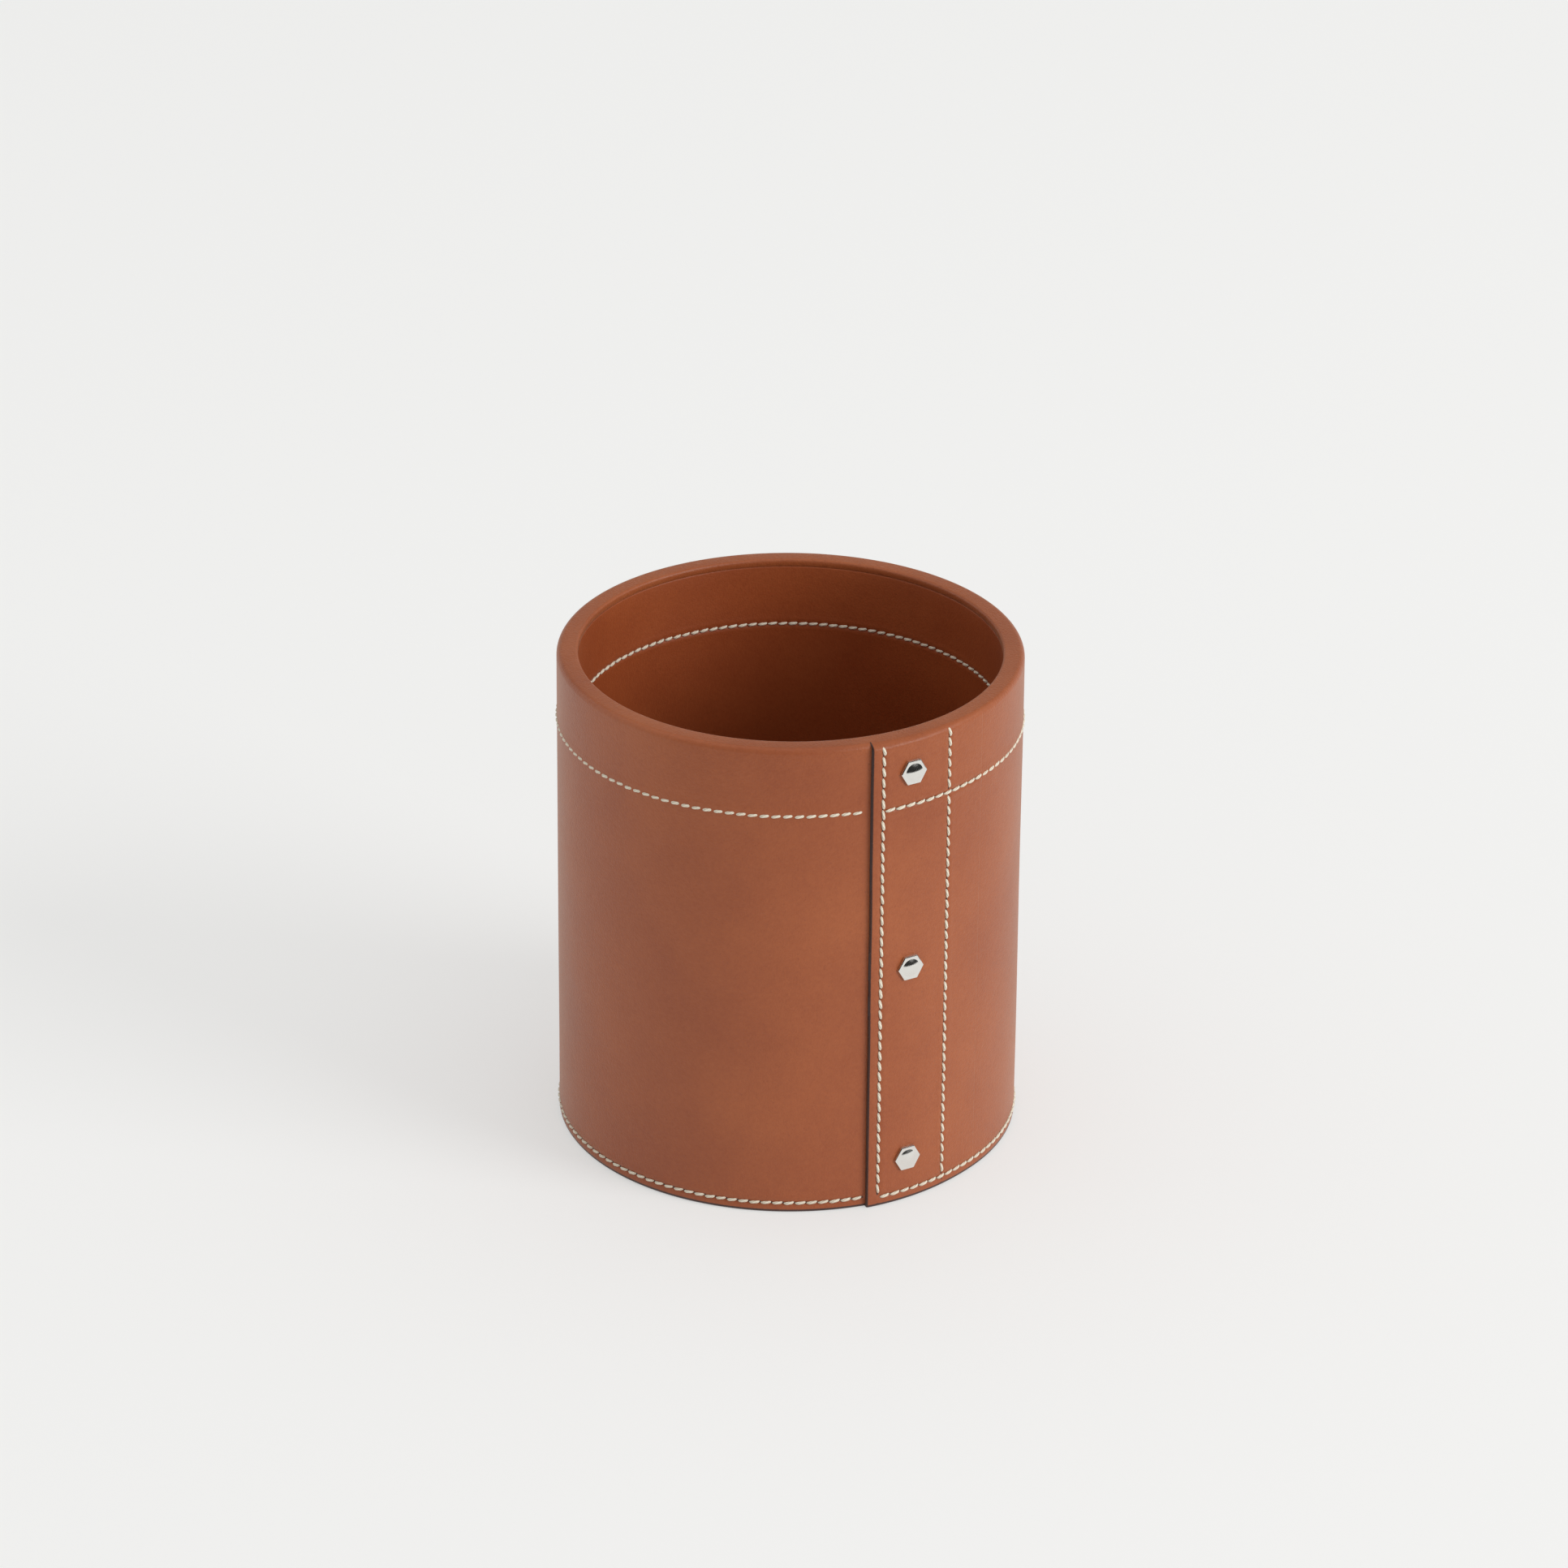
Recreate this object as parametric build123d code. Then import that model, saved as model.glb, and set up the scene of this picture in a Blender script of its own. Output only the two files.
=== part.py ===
"""Leather pen pot: an overlapped outer sheet on a stiff tube, lined, sewn and held by three studs.

Millimetres, +Z up. The pot stands on Z = 0 round the Z axis, with the line of studs facing -Y.
Turns are in degrees about Z from the stud line, positive towards +X.
Arcs are lengths along the outside of the wall from the stud line, positive towards +X.
"""

import math
import os

from build123d import *

# The pot as a whole
pot_diameter = 120.0
pot_height = 132.0

# Layers of the wall, from the outside in
wrap_thickness = 1.6
core_thickness = 2.4
lining_thickness = 1.5

# The rolled rim of the outer sheet
rim_round = 1.5
lip_round = 0.7
lip_depth = 2.0

# The overlap at the front: the flap lies over the thinned end of the sheet
flap_edge_arc = -11.2
flap_edge_thickness = 1.25
flap_edge_round = 0.4
underlap_end_arc = 12.6
flap_end_arc = 17.5
glue_gap = 0.06

# Stitch lines
rim_seam_drop = 18.5
base_seam_height = 2.7
left_seam_arc = -8.3
right_seam_arc = 10.4
rim_seam_stop = 2.0
base_seam_stop = 0.8
seam_corner_gap = 0.9
shoulder_stitch_rise = 0.4

# Stitches: each one a full-bellied grain of thread, flat where it lies on the leather
stitch_pitch = 2.95
stitch_gap = 0.12
thread_belly = 0.85
thread_tip = 0.5
thread_height = 0.5
thread_bevel = 0.2
thread_clearance = 0.01
level_lean = 0.18
upright_lean = 0.24

# Studs and the screws behind them
stud_across_flats = 6.5
stud_head_thickness = 1.0
stud_edge_bevel = 0.15
stud_dome_diameter = 4.9
stud_dome_height = 0.52
stud_post_diameter = 3.6
stud_hole_clearance = 0.1
stud_seat_depth = 0.3
stud_seat_clearance = 0.2
top_stud_drop = 9.3
bottom_stud_rise = 12.3
screw_diameter = 2.0
screw_grip = 2.0
screw_clearance = 0.1
screw_tip_gap = 0.4
screw_head_diameter = 5.6
screw_head_thickness = 0.8
screw_slot_width = 0.7
screw_slot_depth = 0.35

# Base
base_cover_thickness = 1.2
base_board_thickness = 5.0
floor_pad_thickness = 1.5
base_clearance = 0.05

# Joint in the lining, hidden inside the front of the pot
lining_joint_arc = -10.4
lining_joint_gap = 0.1

# Sizes that follow from these
outer_radius = pot_diameter / 2
core_outside = outer_radius - wrap_thickness
core_inside = core_outside - core_thickness
inner_radius = core_inside - lining_thickness
shoulder_height = pot_height - rim_round
lining_top = pot_height - lip_depth
rim_seam_height = pot_height - rim_seam_drop
board_bottom = base_cover_thickness
pad_bottom = board_bottom + base_board_thickness
half_diagonal = math.sqrt(0.5)


def turn_of(arc):
    return math.degrees(arc / outer_radius)


flap_edge = turn_of(flap_edge_arc)
flap_end = turn_of(flap_end_arc)
underlap_end = turn_of(underlap_end_arc)
flap_edge_inside = outer_radius + glue_gap
flap_edge_outside = flap_edge_inside + flap_edge_thickness


def flap_share(turn):
    """Share of the way from the flap's free edge to where it lies back on the tube."""
    return (turn - flap_edge) / (flap_end - flap_edge)


def outside_radius(turn):
    """Radius of the outer face, which is the flap's where it covers the sheet."""
    share = flap_share(turn)
    if share < 0 or share > 1:
        return outer_radius
    return flap_edge_outside + (outer_radius - flap_edge_outside) * share


def flap_inside_radius(turn):
    return flap_edge_inside + (core_outside - flap_edge_inside) * flap_share(turn)


def at(turn, radius, height=0.0):
    angle = math.radians(turn)
    return Vector(radius * math.sin(angle), -radius * math.cos(angle), height)


def tangent(turn):
    angle = math.radians(turn)
    return Vector(math.cos(angle), math.sin(angle), 0)


def bend(start, end, radius_at):
    """Arc between two turns through the halfway point of a face."""
    turns = (start, (start + end) / 2, end)
    return ThreePointArc(*[at(turn, radius_at(turn)) for turn in turns])


def spun(edges):
    """Solid of revolution from the closed outline of half its section, in the XZ plane."""
    return revolve(make_face(edges), Axis.Z)


def lines(*points):
    return [Line((a[0], 0, a[1]), (b[0], 0, b[1])) for a, b in zip(points, points[1:])]


def corner_arc(centre, radius, start, end):
    """Arc in the XZ plane round a centre, between two directions in degrees."""
    angles = [math.radians(a) for a in (start, (start + end) / 2, end)]
    points = [(centre[0] + radius * math.cos(a), 0, centre[1] + radius * math.sin(a)) for a in angles]
    return ThreePointArc(*points)


def ring(inside, outside, bottom, top):
    return Pos(0, 0, bottom) * extrude(Circle(outside) - Circle(inside), amount=top - bottom)


def disc(radius, bottom, thickness):
    return Pos(0, 0, bottom) * extrude(Circle(radius), amount=thickness)


def radial_pin(turn, height, radius, inside, outside):
    """Round pin pointing straight out from the axis, between two distances from it."""
    plane = Plane(origin=at(turn, inside, height), x_dir=(0, 0, 1), z_dir=at(turn, 1))
    return plane * extrude(Circle(radius), amount=outside - inside)


# Stitch lines, as lists of awl holes: each one a turn and a height
def level_holes(start, end, height):
    count = round(math.radians(end - start) * outer_radius / stitch_pitch)
    return [(start + (end - start) * i / count, height) for i in range(count + 1)]


def upright_holes(turn, bottom, top):
    count = round((top - bottom) / stitch_pitch)
    return [(turn, bottom + (top - bottom) * i / count) for i in range(count + 1)]


left_seam = turn_of(left_seam_arc)
level_start = turn_of(left_seam_arc + seam_corner_gap)
rim_end = 360 + turn_of(flap_edge_arc - rim_seam_stop)
base_end = 360 + turn_of(flap_edge_arc - base_seam_stop)
rim_holes = level_holes(level_start, rim_end, rim_seam_height)
base_holes = level_holes(level_start, base_end, base_seam_height)

# The right seam crosses the rim seam under the middle of a rim stitch
rim_middles = [(a[0] + b[0]) / 2 for a, b in zip(rim_holes, rim_holes[1:])]
right_seam = min(rim_middles, key=lambda middle: abs(middle - turn_of(right_seam_arc)))

upright_bottom = base_seam_height + seam_corner_gap
upright_top = shoulder_height + shoulder_stitch_rise
below_rim_seam = rim_seam_height - seam_corner_gap
above_rim_seam = rim_seam_height + seam_corner_gap
left_runs = [upright_holes(left_seam, upright_bottom, upright_top)]
right_runs = [
    upright_holes(right_seam, upright_bottom, below_rim_seam),
    upright_holes(right_seam, above_rim_seam, upright_top),
]


# How fast the flap's outer face comes in, per radian towards its end
flap_fall = (flap_edge_outside - outer_radius) / math.radians(flap_end - flap_edge)


def outer_face(turn, height):
    """Point and outward direction on the outer face, over the shoulder of the rim too."""
    radius = outside_radius(turn)
    rise = max(0.0, height - shoulder_height)
    tilt = math.asin(rise / rim_round)
    point = at(turn, radius - rim_round * (1 - math.cos(tilt)), height)
    fall = flap_fall if radius > outer_radius else 0.0
    level_out = (at(turn, 1) + tangent(turn) * (fall / radius)).normalized()
    return point, level_out * math.cos(tilt) + Vector(0, 0, math.sin(tilt))


def inner_face(turn, height):
    """Point on the lining and the direction towards the axis."""
    return at(turn, inner_radius, height), -at(turn, 1)


def stitch(span, lean):
    """One stitch along X, lying on the XY plane."""
    half = (span - stitch_gap) / 2
    tip = thread_tip / 2
    nose = 0.6 * tip
    reach = math.hypot(half, lean) - nose
    outline = [
        ThreePointArc((-reach, tip), (0, thread_belly / 2), (reach, tip)),
        ThreePointArc((reach, tip), (reach + nose, 0), (reach, -tip)),
        ThreePointArc((reach, -tip), (0, -thread_belly / 2), (-reach, -tip)),
        ThreePointArc((-reach, -tip), (-reach - nose, 0), (-reach, tip)),
    ]
    grain = extrude(make_face(outline), amount=thread_height)
    grain = chamfer(grain.faces().sort_by(Axis.Z)[-1].edges(), thread_bevel)
    return (Rot(0, 0, math.degrees(math.atan2(lean, half))) * grain).solid()


def sew(holes, lean, face):
    """Stitches laid on a face from each hole of a run to the next."""
    made = {}
    placed = []
    for first, second in zip(holes, holes[1:]):
        start, start_out = face(*first)
        end, end_out = face(*second)
        along = end - start
        size = round(along.length, 2)
        if size not in made:
            made[size] = stitch(along.length, lean)
        middle, middle_out = face((first[0] + second[0]) / 2, (first[1] + second[1]) / 2)
        bulge = max(0.0, (middle - start).dot(middle_out))
        out = start_out + end_out
        out = (out - along * (out.dot(along) / along.length**2)).normalized()
        lie = Plane(origin=(start + end) / 2 + out * (bulge + thread_clearance), x_dir=along, z_dir=out)
        placed.append(lie * made[size])
    return placed


stud_turn = 0.0
top_stud = pot_height - top_stud_drop
stud_heights = [top_stud, (top_stud + bottom_stud_rise) / 2, bottom_stud_rise]
stud_seat = outside_radius(stud_turn) - stud_seat_depth
stud_seat_radius = stud_across_flats / math.sqrt(3) + stud_seat_clearance
stud_hole_radius = stud_post_diameter / 2 + stud_hole_clearance
screw_head_inside = core_inside + screw_clearance
screw_head_outside = screw_head_inside + screw_head_thickness
post_inside = screw_head_outside + screw_clearance
screw_bore_radius = screw_diameter / 2 + screw_clearance
screw_tip = post_inside + screw_grip
far_outside = flap_edge_outside + stud_head_thickness + stud_dome_height

stud_holes = [radial_pin(stud_turn, z, stud_hole_radius, core_inside - 1, far_outside) for z in stud_heights]
stud_seats = [radial_pin(stud_turn, z, stud_seat_radius, stud_seat, far_outside) for z in stud_heights]
screw_pockets = [
    radial_pin(stud_turn, z, screw_head_diameter / 2 + screw_clearance, core_inside - 1, screw_head_outside)
    for z in stud_heights
]

# Stiff tube, without its holes
core_blank = ring(core_inside, core_outside, board_bottom, shoulder_height)

# Outer sheet seen from above: flap, once round, then the thinned end under the flap
edge_turn = flap_edge + turn_of(flap_edge_round)
edge_centre = at(edge_turn, outside_radius(edge_turn) - flap_edge_round)
edge_low = at(flap_edge, outside_radius(edge_turn) - flap_edge_round)
edge_middle = edge_centre + (at(flap_edge, 1) - tangent(flap_edge)) * (half_diagonal * flap_edge_round)
edge_high = at(edge_turn, outside_radius(edge_turn))
flap_nose = ThreePointArc(edge_low, edge_middle, edge_high)
flap_outside = bend(edge_turn, flap_end, outside_radius)


def underlap_outside_radius(turn):
    return flap_inside_radius(turn) - glue_gap


sheet_plan = make_face(
    [
        Line(at(flap_edge, flap_edge_inside), edge_low),
        flap_nose,
        flap_outside,
        bend(flap_end, 360 + flap_edge, lambda turn: outer_radius),
        bend(flap_edge, underlap_end, underlap_outside_radius),
        Line(at(underlap_end, underlap_outside_radius(underlap_end)), at(underlap_end, core_outside)),
        bend(underlap_end, flap_end - 360, lambda turn: core_outside),
        bend(flap_end, flap_edge, flap_inside_radius),
    ]
)
sheet = extrude(sheet_plan, amount=shoulder_height)
roll = spun(
    lines((core_outside, shoulder_height), (outer_radius, shoulder_height))
    + [corner_arc((outer_radius - rim_round, shoulder_height), rim_round, 0, 90)]
    + lines((outer_radius - rim_round, pot_height), (inner_radius + lip_round, pot_height))
    + [corner_arc((inner_radius + lip_round, pot_height - lip_round), lip_round, 90, 180)]
    + lines((inner_radius, pot_height - lip_round), (inner_radius, lining_top), (core_inside, lining_top))
    + lines((core_inside, lining_top), (core_inside, shoulder_height), (core_outside, shoulder_height))
)

# Top of the flap, turned over the rim on the flap's own bend and thinned to nothing on top
crown_inside = (core_inside + core_outside) / 2
crown_plan = make_face(
    [
        Line(at(flap_edge, crown_inside), edge_low),
        flap_nose,
        flap_outside,
        Line(at(flap_end, outer_radius), at(flap_end, crown_inside)),
        bend(flap_end, flap_edge, lambda turn: crown_inside),
    ]
)
crown = Pos(0, 0, shoulder_height) * extrude(crown_plan, amount=rim_round)
bend_centre = flap_outside.arc_center
bend_radius = flap_outside.radius
crown_round = spun(
    lines((0, shoulder_height), (bend_radius, shoulder_height))
    + [corner_arc((bend_radius - rim_round, shoulder_height), rim_round, 0, 90)]
    + lines((bend_radius - rim_round, pot_height), (0, pot_height), (0, shoulder_height))
)
crown = crown & (Pos(bend_centre.X, bend_centre.Y, 0) * crown_round)
outer_wrap = sheet + (roll + crown)
outer_wrap -= stud_holes + stud_seats

core_tube = core_blank - (stud_holes + screw_pockets)

# Lining, a single sheet butted at the front
lining_joint = turn_of(lining_joint_arc)
joint_cut = Location(at(lining_joint, (inner_radius + core_inside) / 2)) * Rot(0, 0, lining_joint)
joint_cut *= Box(lining_joint_gap, 2 * lining_thickness, 2 * pot_height)
lining = ring(inner_radius, core_inside, board_bottom, lining_top) - joint_cut

# Base
base_cover = disc(core_outside - base_clearance, 0, base_cover_thickness)
base_board = disc(inner_radius - base_clearance, board_bottom, base_board_thickness)
floor_pad = disc(inner_radius - base_clearance, pad_bottom, floor_pad_thickness)

# Thread: the rim seam shows on both faces of the wall, the others outside only
rim_thread = sew(rim_holes, level_lean, outer_face) + sew(rim_holes[::-1], level_lean, inner_face)
base_thread = sew(base_holes, level_lean, outer_face)
left_thread = [grain for run in left_runs for grain in sew(run[::-1], upright_lean, outer_face)]
right_thread = [grain for run in right_runs for grain in sew(run[::-1], upright_lean, outer_face)]


# Studs and screws, each made along Z and then turned to point outward
def stud():
    head = RegularPolygon(stud_across_flats / 2, 6, major_radius=False)
    solid = extrude(head, amount=stud_head_thickness)
    solid = chamfer(solid.faces().sort_by(Axis.Z)[-1].edges(), stud_edge_bevel)
    dome_radius = stud_dome_diameter / 2
    ball = (dome_radius**2 + stud_dome_height**2) / (2 * stud_dome_height)
    cap = Pos(0, 0, stud_head_thickness + stud_dome_height - ball) * Sphere(ball)
    solid += cap & Pos(0, 0, stud_head_thickness) * extrude(Circle(ball), amount=ball)
    post_length = stud_seat - post_inside
    solid += Pos(0, 0, -post_length) * extrude(Circle(stud_post_diameter / 2), amount=post_length)
    bore_depth = screw_grip + screw_tip_gap
    solid -= Pos(0, 0, -post_length) * extrude(Circle(screw_bore_radius), amount=bore_depth)
    return solid.solid()


def screw():
    solid = extrude(Circle(screw_head_diameter / 2), amount=screw_head_thickness)
    solid += extrude(Circle(screw_diameter / 2), amount=screw_tip - screw_head_inside)
    solid -= Box(2 * screw_head_diameter, screw_slot_width, 2 * screw_slot_depth)
    return solid.solid()


def outward_at(height, radius):
    return Plane(origin=at(stud_turn, radius, height), x_dir=tangent(stud_turn), z_dir=at(stud_turn, 1))


one_stud = stud()
one_screw = screw()
hex_studs = [outward_at(z, stud_seat) * one_stud for z in stud_heights]
stud_screws = [outward_at(z, screw_head_inside) * one_screw for z in stud_heights]

nodes = {
    "outer_wrap": outer_wrap.solids(),
    "core_tube": core_tube.solids(),
    "lining": lining.solids(),
    "base_cover": base_cover.solids(),
    "base_board": base_board.solids(),
    "floor_pad": floor_pad.solids(),
    "rim_thread": rim_thread,
    "base_thread": base_thread,
    "left_overlap_thread": left_thread,
    "right_overlap_thread": right_thread,
    "hex_studs": hex_studs,
    "stud_screws": stud_screws,
}

os.makedirs("parts", exist_ok=True)
for name, solids in nodes.items():
    export_step(Compound(solids), f"parts/{name}.step")
    print(name, len(solids))
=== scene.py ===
import math
import random

import bmesh
import bpy
from mathutils import Matrix, Vector, noise


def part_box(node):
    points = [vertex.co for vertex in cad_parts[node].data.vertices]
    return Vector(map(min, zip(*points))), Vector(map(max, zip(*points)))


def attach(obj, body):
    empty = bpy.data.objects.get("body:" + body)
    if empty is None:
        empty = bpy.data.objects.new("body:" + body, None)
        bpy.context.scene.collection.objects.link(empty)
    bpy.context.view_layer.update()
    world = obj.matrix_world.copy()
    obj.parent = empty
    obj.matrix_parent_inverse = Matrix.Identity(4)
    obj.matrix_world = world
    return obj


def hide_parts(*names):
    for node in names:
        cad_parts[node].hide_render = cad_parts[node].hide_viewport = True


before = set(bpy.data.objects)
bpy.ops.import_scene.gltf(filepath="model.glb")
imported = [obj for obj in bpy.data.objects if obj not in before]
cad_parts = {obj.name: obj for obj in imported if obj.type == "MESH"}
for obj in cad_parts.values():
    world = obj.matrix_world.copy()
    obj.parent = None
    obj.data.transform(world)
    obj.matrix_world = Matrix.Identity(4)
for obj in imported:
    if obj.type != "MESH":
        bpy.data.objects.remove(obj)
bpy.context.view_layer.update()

mm = 0.001


# sizes are in millimetres here and become metres as each mesh is finished
def boxMm(node):
    low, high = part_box(node)
    return low / mm, high / mm


wrapHigh = boxMm("outer_wrap")[1]
liningLow, liningHigh = boxMm("lining")
padLow, padHigh = boxMm("floor_pad")
coverHigh = boxMm("base_cover")[1]
studLow, studHigh = boxMm("hex_studs")

pot = {
    "outer": round(wrapHigh.x, 1),
    "height": round(wrapHigh.z, 1),
    "core": round(boxMm("core_tube")[1].x, 1),  # outside of the stiff tube
    "liningBack": round(liningHigh.x, 1),
    "liningThickness": 1.5,
    "rimRound": 1.5,
    "lipRound": 0.7,
    "footRound": 0.5,
    "footPaint": 0.75,  # height of the painted bottom edge
    "paintBlur": 0.1,
    "settleReach": 8.0,  # the sheet lies true this near to the foot and the shoulder
}
pot["inner"] = pot["liningBack"] - pot["liningThickness"]
pot["shoulder"] = pot["height"] - pot["rimRound"]
pot["girth"] = 2 * math.pi * pot["outer"]

flap = {
    "edgeArc": -11.2,  # free edge, along the wall from the stud line
    "endArc": 17.5,
    "lift": 1.31,  # how far the edge stands off the sheet below
    "blend": 0.25,  # share of the flap, to either side of its end, that eases into the wall
    "wave": 0.12,  # hand-cut waver of the free edge
    "waveRate": 0.055,
    "waveReach": (1.0, 3.0),  # arc from the edge over which the waver dies out
    "skin": 0.25,  # thickness of the shell that stands for the flap
    "endSink": 0.02,  # the last column dips under the sheet
}
flap["length"] = flap["endArc"] - flap["edgeArc"]
flap["fadeArc"] = flap["edgeArc"] + flap["length"] * (1 + flap["blend"])


def middleArc(node):
    low, high = boxMm(node)
    return math.atan2(low.x + high.x, -low.y - high.y) * pot["outer"]


def middleHeight(node):
    low, high = boxMm(node)
    return (low.z + high.z) / 2


seam = {
    "pitch": 2.95,
    "rimHeight": middleHeight("rim_thread"),
    "baseHeight": middleHeight("base_thread"),
    "leftArc": middleArc("left_overlap_thread"),
    "rightArc": middleArc("right_overlap_thread"),
    "cornerGap": 0.9,
    "levelGap": 0.55,  # the level seams start close beside the left one
    "rimStop": 2.0,  # the rim seam stops short of the flap's edge
    "baseStop": 0.8,
    "shoulderRise": 1.2,  # the upright seams run up onto the shoulder
}


def smoothStep(low, high, value):
    share = min(1.0, max(0.0, (value - low) / (high - low)))
    return share * share * (3 - 2 * share)


def bell(value, width):
    return math.exp(-((value / width) ** 2))


def liftAt(arc):  # how far the flap's face stands off the wall
    share = (arc - flap["edgeArc"]) / flap["length"]
    if share < 0 or share > 1 + flap["blend"]:
        return 0.0
    if share < 1 - flap["blend"]:
        return flap["lift"] * (1 - share)
    ease = (1 + flap["blend"] - share) / (2 * flap["blend"])
    return flap["lift"] * flap["blend"] * ease * ease


def wallPoint(arc, radius, height):
    turn = arc / pot["outer"]
    return Vector((radius * math.sin(turn), -radius * math.cos(turn), height))


# seams as runs of awl holes: along is the arc on a level seam, the height on an upright one
def makeRun(kind, place, start, end):
    count = round((end - start) / seam["pitch"])
    return {"kind": kind, "place": place, "start": start, "end": end, "count": count,
            "pitch": (end - start) / count}


levelStart = seam["leftArc"] + seam["levelGap"]
rimRun = makeRun("level", seam["rimHeight"], levelStart,
                 pot["girth"] + flap["edgeArc"] - seam["rimStop"])
baseRun = makeRun("level", seam["baseHeight"], levelStart,
                  pot["girth"] + flap["edgeArc"] - seam["baseStop"])
uprightBottom = seam["baseHeight"] + seam["cornerGap"]
uprightTop = pot["shoulder"] + seam["shoulderRise"]
leftRuns = [makeRun("upright", seam["leftArc"], uprightBottom, uprightTop)]
rightRuns = [
    makeRun("upright", seam["rightArc"], uprightBottom, seam["rimHeight"] - seam["cornerGap"]),
    makeRun("upright", seam["rightArc"], seam["rimHeight"] + seam["cornerGap"], uprightTop),
]

seamRuns = [rimRun, baseRun, *leftRuns, *rightRuns]

dent = {
    "groove": 0.17,  # leather drawn down along the thread
    "grooveWidth": 0.55,
    "pucker": 0.07,  # leather pushed up beside it
    "puckerPlace": 1.35,
    "puckerWidth": 0.75,
    "hole": 0.34,
    "holeWidth": 0.33,
    "holeShade": 0.36,  # reach of the painted shade round a hole
    "shadeSide": 1.0,
    "shadePast": 0.5,
    "side": 3.2,  # nothing is drawn in farther than this from a seam
    "past": 1.0,  # or farther than this past its ends
    "fade": (-0.6, 0.2),
    "rowBand": 2.6,  # rows are close this near to a level seam
}


def placeOnRun(run, arc, height):  # along the run from its first hole, and across it
    if run["kind"] == "level":
        return (arc - run["start"]) % pot["girth"], height - run["place"]
    return height - run["start"], arc - run["place"]


def toNearestHole(run, along):
    return along - run["pitch"] * round(along / run["pitch"])


def runDent(run, arc, height):
    along, across = placeOnRun(run, arc, height)
    length = run["end"] - run["start"]
    if run["kind"] == "level" and along > length + dent["past"]:
        along -= pot["girth"]
    if abs(across) > dent["side"] or along < -dent["past"] or along > length + dent["past"]:
        return 0.0
    inside = smoothStep(*dent["fade"], along) * smoothStep(*dent["fade"], length - along)
    fromHole = toNearestHole(run, along)
    depth = -dent["groove"] * bell(across, dent["grooveWidth"])
    depth += dent["pucker"] * bell(abs(across) - dent["puckerPlace"], dent["puckerWidth"])
    depth -= dent["hole"] * bell(fromHole, dent["holeWidth"]) * bell(across, dent["holeWidth"])
    return inside * depth


def holeShade(run, arc, height):  # painted shade in the stitch holes: how near a place is to one of the holes, 1 at its middle
    along, across = placeOnRun(run, arc, height)
    if abs(across) > dent["shadeSide"] or along > run["end"] - run["start"] + dent["shadePast"]:
        return 0.0
    return bell(math.hypot(toNearestHole(run, along), across), dent["holeShade"])


unevenness = {"sheet": 0.09, "lining": 0.06, "liningShift": 90, "roundRate": 2.2, "uprightRate": 0.022}


def waver(arc, height, size):  # slow unevenness of a hand-wrapped sheet
    turn, rate = arc / pot["outer"], unevenness["roundRate"]
    return size * noise.noise(Vector((math.sin(turn) * rate, math.cos(turn) * rate,
                                      height * unevenness["uprightRate"])))


def sheetWaver(arc, height):  # dies out towards the foot and the shoulder
    reach = pot["settleReach"]
    settle = smoothStep(0.0, reach, height) * smoothStep(pot["shoulder"], pot["shoulder"] - reach, height)
    return settle * waver(arc, height, unevenness["sheet"])


def arcOf(point):
    return math.atan2(point.x, -point.y) * pot["outer"]


def spaced(low, high, step):
    count = max(1, round((high - low) / step))
    return [low + (high - low) * i / count for i in range(count + 1)]


def bandedHeights(low, high, coarse, fine, bands):  # close rows near the seams only
    heights = [low]
    while heights[-1] < high:
        near = any(abs(heights[-1] - band) < dent["rowBand"] for band in bands)
        heights.append(heights[-1] + (fine if near else coarse))
    heights[-1] = high
    return heights


def arcPoints(centre, radius, start, end, count):
    angles = [math.radians(start + (end - start) * i / count) for i in range(count + 1)]
    return [(centre[0] + radius * math.cos(a), centre[1] + radius * math.sin(a)) for a in angles]


def spinOutline(outline, steps, angle=2 * math.pi, startArc=0.0, closed=True):
    bm = bmesh.new()
    ring = [bm.verts.new(wallPoint(startArc, r, z)) for r, z in outline]
    edges = [bm.edges.new(pair) for pair in zip(ring, ring[1:])]
    if closed:
        edges.append(bm.edges.new((ring[-1], ring[0])))
    whole = abs(angle - 2 * math.pi) < 1e-6
    bmesh.ops.spin(bm, geom=ring + edges, cent=(0, 0, 0), axis=(0, 0, 1), angle=angle,
                   steps=steps, use_merge=whole)
    if whole:
        bmesh.ops.remove_doubles(bm, verts=bm.verts[:], dist=1e-4)
    return bm


def finishPiece(bm, name, material, slot, *nodes, openShell=False):
    bmesh.ops.recalc_face_normals(bm, faces=bm.faces[:])
    bm.normal_update()
    if openShell and sum(f.normal.xy.dot(f.calc_center_median().xy) for f in bm.faces) < 0:
        bmesh.ops.reverse_faces(bm, faces=bm.faces[:])
    bmesh.ops.scale(bm, vec=(mm, mm, mm), verts=bm.verts[:])
    mesh = bpy.data.meshes.new(name)
    bm.to_mesh(mesh)
    bm.free()
    for face in mesh.polygons:
        face.use_smooth = True
    mesh.materials.append(material)
    piece = bpy.data.objects.new(name, mesh)
    bpy.context.scene.collection.objects.link(piece)
    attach(piece, "root")
    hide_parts(*nodes)
    print("made", name, len(mesh.polygons), "faces")
    return piece


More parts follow.
